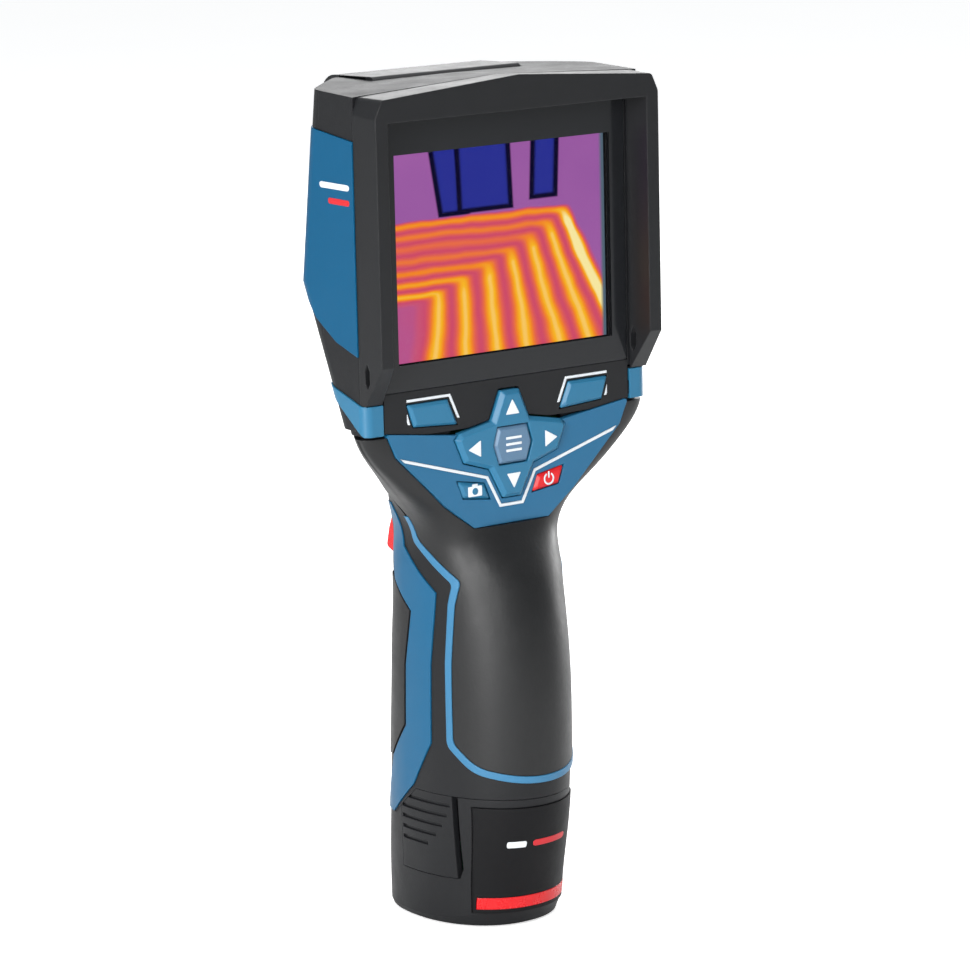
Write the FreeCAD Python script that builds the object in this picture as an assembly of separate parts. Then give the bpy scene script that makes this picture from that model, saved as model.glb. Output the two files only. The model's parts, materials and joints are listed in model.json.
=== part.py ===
import FreeCAD, Part
import math
import os

# Hand-held thermal imaging camera, in millimetres.
# The origin is the centre of the battery's flat base, under the grip. +Z is up,
# the display faces -Y, the lens faces +Y, and X runs to the user's right.

V = FreeCAD.Vector
X_AXIS, Y_AXIS, Z_AXIS = V(1, 0, 0), V(0, 1, 0), V(0, 0, 1)

# ---- driving dimensions -------------------------------------------------
FACE_Y = -15.5          # plane of the keypad and of the display surround
HOOD_Y = -23.5          # front edge of the display hood
SPLIT_Y = 3.0           # plane where the two housing halves meet
WALL = 2.2              # housing wall
SKIN = 1.2              # depth of an inlay below the housing surface
PROUD = 0.35            # height of an inlay above the housing surface
GAP = 0.15              # clearance round a fixed inlay
RUN = 0.25              # clearance round a moving piece

HEAD_HALF = 46.9        # half width of the head
HEAD_LOW, HEAD_KNEE, HEAD_TOP = 140.2, 179.5, 238.5
HOOD_SIDE_Z, HOOD_PEAK_Z = 230.1, 233.5     # hood's top edge at its corners and in the middle
ROOF_BACK_SIDE_Z, ROOF_BACK_MID_Z = 231.9, 230.7
SEAM_Z = 37.5           # where the battery meets the grip, at the front
SEAM_BACK_Z = 28.5      # the same seam at the back
STALK_TOP = 76.5        # top of the battery's inner stalk

PICTURE_LOW, PICTURE_HIGH, PICTURE_Y = 158.6, 214.4, -13.0
LENS_Z, CAMERA_Z = 182.5, 207.5
SWITCH_Y = -9.0         # outer face of the key switches
SECTION_POINTS = 32
FAR, SKY = 60.0, 260.0  # reach of the blocks that cut, past the sides and past the top

# Grip and neck stations from the base up:
# height, half width, Y of the widest line, front Y, back Y, front power, back power.
# Power 2 is an ellipse, and a higher power is boxier.
STATIONS = (
    (-3.5, 20.7, 5.0, -19.2, 30.0, 2.1, 2.4),
    (10.5, 21.0, 5.0, -22.7, 29.3, 2.1, 2.4),
    (24.5, 21.3, 4.8, -26.0, 28.0, 2.1, 2.4),
    (38.5, 21.5, 4.5, -28.3, 26.4, 2.1, 2.4),
    (52.5, 21.6, 4.5, -29.0, 24.8, 2.1, 2.4),
    (66.5, 21.6, 4.5, -29.0, 23.2, 2.1, 2.4),
    (80.5, 21.5, 4.4, -27.8, 21.9, 2.1, 2.4),
    (91.5, 21.4, 4.0, -25.8, 21.6, 2.1, 2.3),
    (100.5, 21.4, 3.0, -22.4, 22.4, 2.2, 2.3),
    (108.5, 21.7, 1.0, -17.8, 23.2, 2.5, 2.2),
    (115.5, 25.0, -2.0, -15.6, 23.4, 3.2, 2.0),
    (121.5, 30.8, -6.0, -15.5, 21.6, 4.0, 1.65),
    (128.5, 38.0, -9.0, -15.5, 20.6, 5.0, 1.5),
    (135.5, 44.2, -10.5, -15.5, 19.5, 5.5, 1.42),
    (143.5, 46.6, -10.0, -15.2, 18.5, 6.0, 1.4),
    (151.5, 46.4, -9.5, -15.1, 17.0, 6.0, 1.4),
)

# Head corners, seen from above, at three heights: side-rear corner and back corner (X, Y).
HEAD_CORNERS = (
    (HEAD_LOW, (46.6, -5.5), (20.0, 20.5)),
    (HEAD_KNEE, (46.8, 12.4), (27.0, 28.0)),
    (HEAD_TOP, (46.0, 4.6), (26.0, 24.0)),
)

# Outlines on the keypad plane (X, Z), right half where they are mirrored.
PLATE_HALF = ((40.4, 140.8), (37.4, 134.1), (21.4, 118.7), (12.4, 111.7))
TRIM_HALF = ((42.0, 135.0), (8.0, 125.0), (3.7, 116.8))     # centre of the white line
TRIM_WIDTH = 0.8
SOFT_KEY = ((33.4, 147.8), (20.2, 147.8), (17.2, 140.8), (31.4, 141.7))
CORNER_KEY = ((17.8, 125.1), (8.9, 123.5), (7.1, 119.1), (16.0, 120.3))
NAV_HALF = ((3.0, 148.1), (6.3, 140.1), (16.8, 138.1), (18.4, 136.5), (15.6, 129.9),
            (7.4, 127.3), (3.0, 118.9))
FUNC_KEY = ((4.9, 138.3), (6.3, 133.5), (4.6, 128.3), (-4.6, 128.3), (-6.3, 133.5), (-4.9, 138.3))
NAV_Z = 133.5

# Outlines on the sides (Y, Z).
STRIPE = ((5.0, 117.5), (4.8, 105.0), (-1.8, 98.7), (-7.7, 93.6), (-5.6, 73.5), (-5.0, 51.5),
          (2.8, 38.6), (14.0, SEAM_BACK_Z), (20.0, SEAM_BACK_Z), (13.2, 44.7), (5.3, 54.7),
          (4.6, 72.0), (1.8, 87.3), (10.3, 95.0), (12.0, 104.5), (8.0, 117.5))
FINGER_FRONT = ((32.0, 92.0), (22.0, 92.0), (12.5, 96.6), (2.6, 87.3), (5.4, 72.0), (6.1, 54.9),
                (14.0, 44.9), (32.0, 42.0))
PALM = ((-45.0, 139.8), (-2.0, 139.8), (0.5, 126.5), (-2.6, 114.0), (-2.6, 108.0), (-9.1, 102.4),
        (-15.2, 97.4), (-13.8, 90.8), (-13.0, 74.5), (-13.0, 52.6), (-19.5, 46.6), (-31.0, 43.4),
        (-45.0, 43.4))
PALM_RELIEF = (-12.8, -9.2, 118.0)      # front Y, back Y and low Z
BEAD = 1.9              # width of the bead round the palm grip
BEAD_TOP = 114.5
SIDE_PANEL = ((-13.2, 162.0), (-13.2, 218.8), (12.0, 221.6), (17.0, 184.0), (12.5, 177.0),
              (5.5, 170.3), (-3.5, 164.9))
KEYPAD_BAND = ((-20.0, 148.5), (-14.0, 148.9), (1.5, 153.4), (0.6, 150.2), (-3.6, 148.2),
               (-14.6, 140.6), (-20.0, 140.6))
BAND_INNER_X = 41.2
STRAP_SLOT = ((-17.0, 160.6), (-15.9, 158.6), (-15.9, 155.2), (-17.0, 153.6), (-18.0, 155.5),
              (-18.0, 158.8))
USB_DOOR = ((-7.0, 196.0), (4.0, 196.0), (4.0, 210.0), (-7.0, 210.0))
USB_Z = 203.0

# Display side, front to back: window, bezel, wall, board.
BEZEL_BACK_Y, WALL_BACK_Y = -13.5, -11.4
BEZEL_HALF, BEZEL_TOP_Z, BEZEL_LOW_Z = 43.0, 225.2, 139.2
LIP_INNER_X, LIP_ROOT_X, LIP_TOP_Z, LIP_END_Z = 42.7, 41.5, 224.1, 149.1
WINDOW = ((-40.6, 151.6), (-40.6, 223.6), (40.6, 223.6), (40.6, 151.6))
FRONT_WALL_LOW_Z = 107.0                # the full front wall runs up from here
PANEL_RECESS = (38.4, 155.4, 218.2)     # opening for the display panel: half width, low, high
PLATE_FRONT_Y, PLATE_BACK_Y = -15.9, -13.9
LINE_DEPTH, LINE_PROUD = 0.4, 0.15      # white lines, set into their plates
KEY_FRONT_Y, NAV_FRONT_Y, FUNC_FRONT_Y = -16.4, -17.3, -17.6
KEY_BEVEL, NAV_BEVEL = 0.8, 1.1
FLANGE_Y, FLANGE_THICK = -13.3, 0.8
NAV_BACK_Y = -14.2
NAV_HUB = (9.9, 7.7)                    # outer and inner radius of the hub and of its membrane
NAV_ARM = 12.0                          # middle of the four-way key to each of its switches
MEMBRANE_Y, MEMBRANE_THICK = -12.8, 0.6
STEM_R, NAV_STEM_R, FUNC_STEM_R = 1.4, 1.1, 3.0
SWITCH_R = 2.1
POSTS = ((37.2, 146.2), (7.0, 111.4))   # key board posts, X and Z
POST_R, POST_BORE_R, POST_SCREW_R = 2.0, 0.9, 0.85
POST_HEAD = (1.7, 1.1)                  # radius and height
KEY_BOARD_HALF = ((39.5, 149.5), (39.5, 141.5), (11.0, 109.6))
BOARD_Y, BOARD_THICK = -8.6, 1.2        # key board
MAIN_BOARD_Y, MAIN_BOARD_THICK = -5.5, 1.6
MAIN_BOARD = (38.0, 152.0, 220.0)       # half width, low, high
SCREWS = ((37.0, 214.0, 14.5), (38.0, 168.0, 11.0), (13.5, 88.5, 13.2), (16.0, 122.0, 11.0))
SCREW_TIP_Y, SCREW_BORE_Y = -4.5, -5.0
SCREW_R, SCREW_PILOT_R, SCREW_CLEAR_R = 1.45, 1.5, 1.7
SCREW_HEAD, SCREW_HEAD_BORE_R, DRIVE_R = (2.7, 1.8), 2.9, 0.9
BOSS_FRONT_Y, BOSS_R, WEB = -6.0, 3.3, 1.6

# Lens side.
LENS_BLOCK = ((-21.0, 160.0), (-21.0, 225.0), (21.0, 225.0), (21.0, 160.0))
BLOCK_FRONT_Y = 31.0
LENS_HOLE, CAMERA_HOLE = 13.2, 5.2
CAP_HALF, CAP_WALL, CAP_OUT_Y = 24.5, 1.8, 34.0
CAP_HINGE = (10.5, 230.0)       # Y and Z
CAP_BARREL, CAP_ROOM = 2.3, 0.4
CAP_LOW_Z = 157.5
BLOCK_HALF, PIN_HALF = 29.0, 28.5       # hinge block in the roof, and its pin
PIN_R, PIN_SEAT_R, PIN_BORE_R = 1.0, 1.05, 1.06

# Trigger.
TRIGGER = ((22.4, 114.5), (29.5, 113.0), (33.8, 103.5), (35.2, 98.0), (30.5, 96.2), (20.5, 97.5),
           (16.5, 99.5), (16.5, 114.5))
TRIGGER_HALF, TRIGGER_ROOM = 6.0, 1.4
TRIGGER_PIVOT = (19.0, 110.5)
TRIGGER_PIN_HALF = 9.0

# Battery: three round cells in a triangle.
CELL_R, CELL_LOW, CELL_HIGH = 9.0, 3.5, 68.5
CELLS = ((9.2, 5.3), (-9.2, 5.3), (0.0, -10.75))
STALK_WALL = 0.8
CONTACTS = (-6.0, 0.0, 6.0)
BASE_STATION = (20.75, 5.0, -20.1, 29.8, 2.1, 2.4)      # the grip's section at the base
BASE_BEVELS = ((-1.8, 0.0, 2.6), (-0.7, 0.0, 0.39))    # inset, height, spread per mm of height
LATCH = ((-11.3, 14.0), (9.5, 14.0), (9.5, 31.2), (2.0, 37.4), (-11.3, 37.4))
LATCH_THICK = 1.7
LATCH_SLOT = ((-13.2, 17.0), (-13.2, 40.0), (-11.1, 40.0), (-11.1, 14.0), (-12.0, 14.0))
RIB_TOP, RIB_STEP, RIB_HEIGHT, RIB_COUNT = 35.2, 3.0, 1.0, 5
PANEL = ((-16.4, 35.0), (16.4, 35.0), (15.0, 4.4), (-15.0, 4.4))
STRIPE_LOW, STRIPE_HIGH = 5.6, 8.9


# ---- basic solids -------------------------------------------------------
def box(x0, x1, y0, y1, z0, z1):
    return Part.makeBox(x1 - x0, y1 - y0, z1 - z0, V(x0, y0, z0))


def rod(start, axis, radius, length):
    return Part.makeCylinder(radius, length, start, axis)


def tube(start, axis, outer, inner, length):
    return rod(start, axis, outer, length).cut(rod(start, axis, inner, length))


def fuse(solids):
    first, *rest = solids
    return first.fuse(rest).removeSplitter() if rest else first


def mirrored(shape):
    return shape.mirror(V(0, 0, 0), X_AXIS)


def both_sides(shape):
    return [shape, mirrored(shape)]


def rounded_wire(points, radius):
    """Closed wire through coplanar points. radius is one number, or one per corner."""
    radii = radius if isinstance(radius, (list, tuple)) else [radius] * len(points)
    ends = []
    for i, corner in enumerate(points):
        back = (points[i - 1] - corner).normalize()
        ahead = (points[(i + 1) % len(points)] - corner).normalize()
        half = back.getAngle(ahead) / 2
        reach = radii[i] / math.tan(half)
        depth = radii[i] / math.sin(half) - radii[i]
        middle = corner + (back + ahead).normalize() * depth
        ends.append((corner + back * reach, middle, corner + ahead * reach))
    edges = []
    for i, (start, middle, stop) in enumerate(ends):
        if radii[i] > 0:
            edges.append(Part.Arc(start, middle, stop).toShape())
        edges.append(Part.makeLine(stop, ends[(i + 1) % len(ends)][0]))
    return Part.Wire(edges)


def plate(points, direction, radius=0.0):
    return Part.Face(rounded_wire(points, radius)).extrude(direction)


def plate_x(outline, x0, x1, radius=0.0):
    """Outline given as (Y, Z), extruded along X."""
    return plate([V(x0, y, z) for y, z in outline], V(x1 - x0, 0, 0), radius)


def plate_y(outline, y0, y1, radius=0.0):
    """Outline given as (X, Z), extruded along Y."""
    return plate([V(x, y0, z) for x, z in outline], V(0, y1 - y0, 0), radius)


def whole(half):
    """Full outline of a half outline that runs down the +X side."""
    return list(half) + [(-a, b) for a, b in reversed(half)]


def grown(outline, distance):
    """Outline with every side moved outwards, or inwards for a negative distance."""
    area = sum(a[0] * b[1] - b[0] * a[1] for a, b in zip(outline, outline[1:] + outline[:1]))
    side = math.copysign(1.0, area)
    moved = []
    for i, (x, y) in enumerate(outline):
        (x0, y0), (x1, y1) = outline[i - 1], outline[(i + 1) % len(outline)]
        before, after = math.hypot(x - x0, y - y0), math.hypot(x1 - x, y1 - y)
        n0 = ((y - y0) / before * side, (x0 - x) / before * side)
        n1 = ((y1 - y) / after * side, (x - x1) / after * side)
        scale = distance / (1 + n0[0] * n1[0] + n0[1] * n1[1])
        moved.append((x + (n0[0] + n1[0]) * scale, y + (n0[1] + n1[1]) * scale))
    return moved


# ---- outer form ---------------------------------------------------------
def grip_section(station, offset):
    z, half, widest, front, back, front_power, back_power = station
    points = []
    for i in range(SECTION_POINTS):
        angle = math.pi / 2 + 2 * math.pi * i / SECTION_POINTS
        c, s = math.cos(angle), math.sin(angle)
        power = back_power if s > 0 else front_power
        reach = back - widest if s > 0 else widest - front
        radius = (abs(c) ** power + abs(s) ** power) ** (-1 / power)
        points.append(V((half + offset) * c * radius, widest + (reach + offset) * s * radius, z))
    curve = Part.BSplineCurve()
    curve.interpolate(Points=points, PeriodicFlag=True, Parameters=list(range(SECTION_POINTS + 1)))
    return Part.Wire(curve.toShape())


def grip_form(offset=0.0):
    """Grip and neck in one piece, from under the base to inside the head."""
    return Part.makeLoft([grip_section(station, offset) for station in STATIONS], True, False)


def head_section(z, side, back, offset):
    half = [(HEAD_HALF, FACE_Y), side, back]
    outline = grown(whole(half), offset)
    radii = [2.5 + max(offset, -2.0), 6.0 + offset, 7.0 + offset]
    return rounded_wire([V(x, y, z) for x, y in outline], radii + radii[::-1])


def roof(offset=0.0):
    """Everything above the head's top: a ridge at the display that flattens towards the lens."""
    back_y = 25.0
    wires = []
    for y, side_z, mid_z in ((HOOD_Y, HOOD_SIDE_Z, HOOD_PEAK_Z),
                             (back_y, ROOF_BACK_SIDE_Z, ROOF_BACK_MID_Z)):
        edge_z = mid_z + (side_z - mid_z) * FAR / HEAD_HALF
        corners = [(-FAR, edge_z), (0, mid_z), (FAR, edge_z), (FAR, SKY), (-FAR, SKY)]
        wires.append([V(x, y, z + (offset if z < SKY else 0)) for x, z in corners])
    overshoot = 0.3     # carry the two rows of points past both ends of the head
    rows = [[a + (a - b) * overshoot for a, b in zip(*wires)],
            [b + (b - a) * overshoot for a, b in zip(*wires)]]
    return Part.makeLoft([rounded_wire(row, 0.0) for row in rows], True, True)


def head_form(offset=0.0):
    wires = [head_section(z, side, back, offset) for z, side, back in HEAD_CORNERS]
    return Part.makeLoft(wires, True, True).cut(roof(offset))


def outer_form(offset=0.0):
    return grip_form(offset).fuse(head_form(offset))


def seam_block(gap=0.0):
    """Space below the seam between the battery and the grip, lowered by gap."""
    front, back, floor = -40.0, 45.0, -10.0
    profile = ((front, floor), (back, floor), (back, SEAM_BACK_Z - gap),
               (13.0, SEAM_BACK_Z - gap), (2.0, SEAM_Z - gap), (front, SEAM_Z - gap))
    return plate_x(profile, -40, 40)


OUTER = outer_form()
RAISED = outer_form(PROUD)
POCKET = outer_form(-SKIN)
LINED = outer_form(-SKIN - GAP)
INNER = outer_form(-WALL)


def inlay(region):
    """Thin piece that lies in the surface of the housing, inside a region."""
    return RAISED.common(region).cut(POCKET)


def recess(region):
    """The cut that an inlay needs in the housing."""
    return region.cut(LINED)


# ---- regions of the housing surface ------------------------------------
def left_of_split(outline, grow, x_inner):
    return plate_x(grown(outline, grow), -FAR, -x_inner)


def stripe_region(grow=0.0):
    return left_of_split(STRIPE, grow, 5)


def side_panel_region(grow=0.0):
    return left_of_split(SIDE_PANEL, grow, 20)


def band_region(grow=0.0):
    return left_of_split(KEYPAD_BAND, grow, BAND_INNER_X - grow)


def palm_region(grow=0.0):
    radii = [0, 0, 6, 3, 3, 3, 2, 4, 8, 4, 12, 0, 0]
    return plate_x(grown(PALM, grow), -FAR, FAR, radii)


def finger_region(grow=0.0):
    return plate_x(grown(FINGER_FRONT, grow), -FAR, FAR)


def plate_outline(grow=0.0):
    """Keypad plate: its top edge sinks towards the four-way key."""
    top_z = PLATE_HALF[0][1]
    half = [(8.0, top_z - 1.2), (18.0, top_z - 3.0)] + list(PLATE_HALF)
    return grown(whole(half), grow)


def nav_outline(grow=0.0):
    return grown(whole(NAV_HALF), grow)


def soft_key_outline(grow=0.0):
    return grown(SOFT_KEY, grow)


def corner_key_outline(grow=0.0):
    return grown(CORNER_KEY, grow)


# ---- housing ------------------------------------------------------------
def cavity():
    """Inside of the housing, with the full wall kept behind the display and the keypad."""
    return INNER.cut(box(-FAR, FAR, -FAR, WALL_BACK_Y, FRONT_WALL_LOW_Z, SKY))


def key_openings(grow):
    cuts = [plate_y(plate_outline(-2.0), -FAR, SWITCH_Y), plate_y(nav_outline(grow), -FAR, SWITCH_Y)]
    cuts += both_sides(plate_y(soft_key_outline(grow), -FAR, SWITCH_Y))
    return fuse(cuts)


def screw_places():
    """Housing screws: X, Z, and the Y of the head's seat."""
    return [(side * x, z, seat) for x, z, seat in SCREWS for side in (-1, 1)]


def board_posts():
    return [(side * x, z) for x, z in POSTS for side in (-1, 1)]


def hinge_block():
    y, z = CAP_HINGE
    return box(-BLOCK_HALF, BLOCK_HALF, y - 4.5, y + 4.5, z - 5.3, z + 5).common(LINED)


def housing():
    """Whole housing before it is split, with every pocket for the outside pieces."""
    body = OUTER.cut(cavity()).fuse(hinge_block())
    cuts = [seam_block(), box(-FAR, FAR, -FAR, BEZEL_BACK_Y, LIP_END_Z, SKY)]
    bezel_space = ((BAND_INNER_X, LIP_END_Z + 1), (BAND_INNER_X - 0.3, 141.0), (36.0, BEZEL_LOW_Z - GAP))
    cuts.append(plate_y(whole(bezel_space), -FAR, BEZEL_BACK_Y))
    cuts.append(plate_y(plate_outline(GAP), -FAR, PLATE_BACK_Y))
    cuts.append(key_openings(1.6))
    half, low, high = PANEL_RECESS
    cuts.append(box(-half, half, -FAR, WALL_BACK_Y + 5, low, high))
    for region in (stripe_region(GAP), side_panel_region(GAP), band_region(GAP)):
        cuts += both_sides(recess(region))
    cuts.append(recess(palm_region(BEAD + GAP)))
    cuts.append(recess(finger_region(GAP)))
    cuts.append(recess(plate_y(grown(LENS_BLOCK, GAP), 12, 40)))
    cuts.append(rod(V(0, 10, LENS_Z), Y_AXIS, LENS_HOLE, 30))
    cuts.append(rod(V(0, 10, CAMERA_Z), Y_AXIS, CAMERA_HOLE, 30))
    y, z = CAP_HINGE
    cuts.append(rod(V(-CAP_HALF - 0.3, y, z), X_AXIS, CAP_BARREL + CAP_ROOM, 2 * CAP_HALF + 0.6))
    cuts.append(rod(V(-PIN_HALF - 1, y, z), X_AXIS, PIN_SEAT_R, 2 * PIN_HALF + 2))
    cuts.append(trigger_slot())
    y_low, y_high = USB_DOOR[0][0] + 1.6, USB_DOOR[1][0] - 1.6
    cuts.append(box(43, 50, y_low, y_high, USB_Z - 5.5, USB_Z + 5.5))
    return body.cut(cuts)


def trigger_slot():
    return plate_x(grown(TRIGGER, TRIGGER_ROOM), -TRIGGER_HALF - RUN, TRIGGER_HALF + RUN)


def screw_bosses(y0, y1):
    """Bosses with a web to the side wall."""
    bosses = []
    for x, z, seat in screw_places():
        end = min(y1, seat + 2)
        bosses.append(rod(V(x, y0, z), Y_AXIS, BOSS_R, end - y0))
        x_far = math.copysign(FAR, x)
        bosses.append(box(min(x, x_far), max(x, x_far), y0, end, z - WEB / 2, z + WEB / 2))
    return fuse(bosses).common(LINED)


def screw_bores():
    bores = []
    for x, z, seat in screw_places():
        bores.append(rod(V(x, seat, z), Y_AXIS, SCREW_HEAD_BORE_R, FAR))
        bores.append(rod(V(x, SPLIT_Y, z), Y_AXIS, SCREW_CLEAR_R, FAR))
        bores.append(rod(V(x, SCREW_BORE_Y, z), Y_AXIS, SCREW_PILOT_R, SPLIT_Y - SCREW_BORE_Y + 1))
    return fuse(bores)


def display_side_shell():
    half = HOUSING.common(box(-FAR, FAR, -FAR, SPLIT_Y, 0, SKY))
    posts = [rod(V(x, WALL_BACK_Y - 0.5, z), Y_AXIS, POST_R, BOARD_Y - WALL_BACK_Y + 0.5)
             for x, z in board_posts()]
    holes = [rod(V(x, WALL_BACK_Y, z), Y_AXIS, POST_BORE_R, 5) for x, z in board_posts()]
    return half.fuse(posts + [screw_bosses(BOSS_FRONT_Y, SPLIT_Y)]).cut(holes + [screw_bores()])


def lens_side_shell():
    half = HOUSING.common(box(-FAR, FAR, SPLIT_Y, FAR, 0, SKY))
    y, z = TRIGGER_PIVOT
    ears = both_sides(box(TRIGGER_HALF + RUN, 10.5, y - 3.5, 26, z - 3.5, z + 3.5).common(LINED))
    pin = rod(V(-TRIGGER_PIN_HALF - 0.2, y, z), X_AXIS, PIN_SEAT_R, 2 * TRIGGER_PIN_HALF + 0.4)
    return half.fuse(ears + [screw_bosses(SPLIT_Y, 40)]).cut([screw_bores(), pin])


def housing_screws():
    screws = []
    for x, z, seat in screw_places():
        shank = rod(V(x, SCREW_TIP_Y, z), Y_AXIS, SCREW_R, seat - SCREW_TIP_Y)
        head = rod(V(x, seat, z), Y_AXIS, *SCREW_HEAD)
        drive = rod(V(x, seat + 0.7, z), Y_AXIS, DRIVE_R, 3)
        screws.append(shank.fuse(head).cut(drive))
    return screws


def display_hood():
    """Frame that shades the display: a top brow and two side lips."""
    drop = 110.0
    rows = []
    for y, peak, corner, shoulder, side in ((HOOD_Y, HOOD_PEAK_Z, (44.4, 230.2), 225.5, 46.5),
                                            (BEZEL_BACK_Y, 232.9, (45.4, 230.4), 226.0, 46.9)):
        half = [(0.01, peak), corner, (side, shoulder), (side, drop)]
        rows.append([V(x, y, z) for x, z in whole(half)])
    radii = [0, 1.5, 2.0, 0, 0, 2.0, 1.5, 0]
    frame = Part.makeLoft([rounded_wire(row, radii) for row in rows], True, True)
    mouth = []
    for y, half_x, top in ((HOOD_Y - 0.5, LIP_INNER_X, LIP_TOP_Z), (FACE_Y, LIP_ROOT_X, 223.9)):
        mouth.append(rounded_wire([V(x, y, z) for x, z in whole([(half_x, top), (half_x, 0)])], 0))
    opening = Part.makeLoft(mouth, True, True)
    rebate = box(-BEZEL_HALF - GAP, BEZEL_HALF + GAP, FACE_Y, 0, 0, BEZEL_TOP_Z + GAP)
    lip_end = ((-28.0, 166.3), (-15.9, LIP_END_Z), (0.0, LIP_END_Z), (0.0, 90.0), (-28.0, 90.0))
    slots = both_sides(plate_x(STRAP_SLOT, 38, 60))
    return frame.cut([opening, rebate, plate_x(lip_end, -FAR, FAR)] + slots)


def display_bezel():
    """Dark frame behind the hood that carries the window and the two soft keys."""
    step_x, step_z = BAND_INNER_X - 0.5, LIP_END_Z + 0.8
    half = [(BEZEL_HALF, BEZEL_TOP_Z), (BEZEL_HALF, step_z), (step_x, step_z), (step_x, 141.0),
            (36.0, BEZEL_LOW_Z)]
    frame = plate_y(whole(half), FACE_Y, BEZEL_BACK_Y)
    seat = plate_y(grown(WINDOW, GAP), -20, -14.0)
    sight = plate_y(grown(WINDOW, -2.2), -FAR, 0)
    cuts = [seat, sight, plate_y(plate_outline(GAP), -FAR, 0), plate_y(nav_outline(0.5), -FAR, 0)]
    cuts += both_sides(plate_y(soft_key_outline(RUN), -FAR, 0))
    cuts += accent_lines(GAP / 3, FACE_Y + LINE_DEPTH + 0.05)
    cuts.append(rod(V(0, -14.8, NAV_Z), Y_AXIS, 10.8, 3))
    return frame.cut(cuts)


def accent_lines(grow, back):
    """White angle along the top and the inner side of each soft key."""
    inner, outer = 0.75 - grow, 1.45 + grow
    (right, _), _, _, (_, low) = SOFT_KEY
    band = plate_y(soft_key_outline(outer), FACE_Y - LINE_PROUD, back)
    band = band.cut(plate_y(soft_key_outline(inner), -FAR, 0))
    return both_sides(band.common(box(0, right + grow, -FAR, 0, low + 0.8 - grow, 160)))


def display_window():
    rear, front = -14.15, -15.6
    return plate_y(WINDOW, rear, front, 1.0)


def window_gasket():
    low, high = PICTURE_LOW - 2.8, PICTURE_HIGH + 2.8
    frame = box(-38.1, 38.1, -14.1, PICTURE_Y - 0.05, low, high)
    return frame.cut(box(-36.2, 36.2, -FAR, 0, low + 1.9, high - 1.9))


def display_panel():
    low, high = PICTURE_LOW - 2.6, PICTURE_HIGH + 2.6
    return box(-37.8, 37.8, PICTURE_Y, PICTURE_Y + 2.4, low, high)


# ---- keypad -------------------------------------------------------------
def bevelled_cap(outline, front, back, bevel=0.5):
    """Key top with a sloping rim."""
    rows = ((front, -bevel), (front + bevel, 0.0), (back, 0.0))
    wires = [rounded_wire([V(x, y, z) for x, z in grown(outline, grow)], 0.4) for y, grow in rows]
    return Part.makeLoft(wires, True, True)


def centre_of(outline):
    return (sum(x for x, _ in outline) / len(outline), sum(z for _, z in outline) / len(outline))


def stem(x, z, start, radius=STEM_R):
    return rod(V(x, start, z), Y_AXIS, radius, SWITCH_Y - 0.9 - start)


def flanged_key(outline):
    cap = bevelled_cap(outline, KEY_FRONT_Y, FLANGE_Y, KEY_BEVEL)
    flange = plate_y(grown(outline, 1.0), FLANGE_Y, FLANGE_Y + FLANGE_THICK)
    return cap.fuse([flange, stem(*centre_of(outline), FLANGE_Y + 0.5)])


def keypad_plate():
    body = plate_y(plate_outline(), PLATE_BACK_Y, PLATE_FRONT_Y, 0.6)
    cuts = [plate_y(nav_outline(0.3), -FAR, 0)]
    cuts += both_sides(plate_y(corner_key_outline(RUN), -FAR, 0))
    cuts.append(trim_form(GAP / 3, PLATE_FRONT_Y + LINE_DEPTH + 0.05))
    return body.cut(cuts)


def trim_form(grow, back):
    """Line that runs from both edges of the plate round the lower lobe of the four-way key."""
    far = TRIM_HALF[0][0]
    area = whole(TRIM_HALF[::-1])
    area = area[:3] + [(far, 60.0), (-far, 60.0)] + area[3:]
    half_width = TRIM_WIDTH / 2 + grow
    line = plate_y(grown(area, half_width), PLATE_FRONT_Y - LINE_PROUD, back)
    line = line.cut(plate_y(grown(area, -half_width), -FAR, 0))
    return line.common(plate_y(plate_outline(grow - 0.6), -FAR, 0))


def keypad_trim():
    return trim_form(0.0, PLATE_FRONT_Y + LINE_DEPTH)


def nav_pad():
    """Four-way key: one cross-shaped rocker with a hole for the middle key."""
    cap = bevelled_cap(nav_outline(), NAV_FRONT_Y, NAV_BACK_Y, NAV_BEVEL)
    hub = tube(V(0, NAV_BACK_Y - 0.1, NAV_Z), Y_AXIS, *NAV_HUB, 0.9)
    stems = [stem(x, z, NAV_BACK_Y - 0.1, NAV_STEM_R) for x, z in nav_switches()]
    hole = plate_y(grown(FUNC_KEY, 0.35), -FAR, 0)
    return cap.fuse([hub] + stems).cut(hole)


def nav_switches():
    return [(NAV_ARM, NAV_Z), (-NAV_ARM, NAV_Z), (0.0, NAV_Z + NAV_ARM), (0.0, NAV_Z - NAV_ARM)]


def nav_membrane():
    return tube(V(0, MEMBRANE_Y, NAV_Z), Y_AXIS, *NAV_HUB, MEMBRANE_THICK)


def func_key():
    cap = bevelled_cap(FUNC_KEY, FUNC_FRONT_Y, NAV_BACK_Y, KEY_BEVEL)
    return cap.fuse(stem(0.0, NAV_Z, NAV_BACK_Y - 0.2, FUNC_STEM_R))


def key_board():
    board = plate_y(whole(KEY_BOARD_HALF), BOARD_Y, BOARD_Y + BOARD_THICK)
    return board.cut([rod(V(x, BOARD_Y, z), Y_AXIS, 1.1, BOARD_THICK) for x, z in board_posts()])


def key_switches():
    places = nav_switches() + [(0.0, NAV_Z)]
    for outline in (SOFT_KEY, CORNER_KEY):
        x, z = centre_of(outline)
        places += [(x, z), (-x, z)]
    return [rod(V(x, SWITCH_Y, z), Y_AXIS, SWITCH_R, BOARD_Y - SWITCH_Y) for x, z in places]


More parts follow.
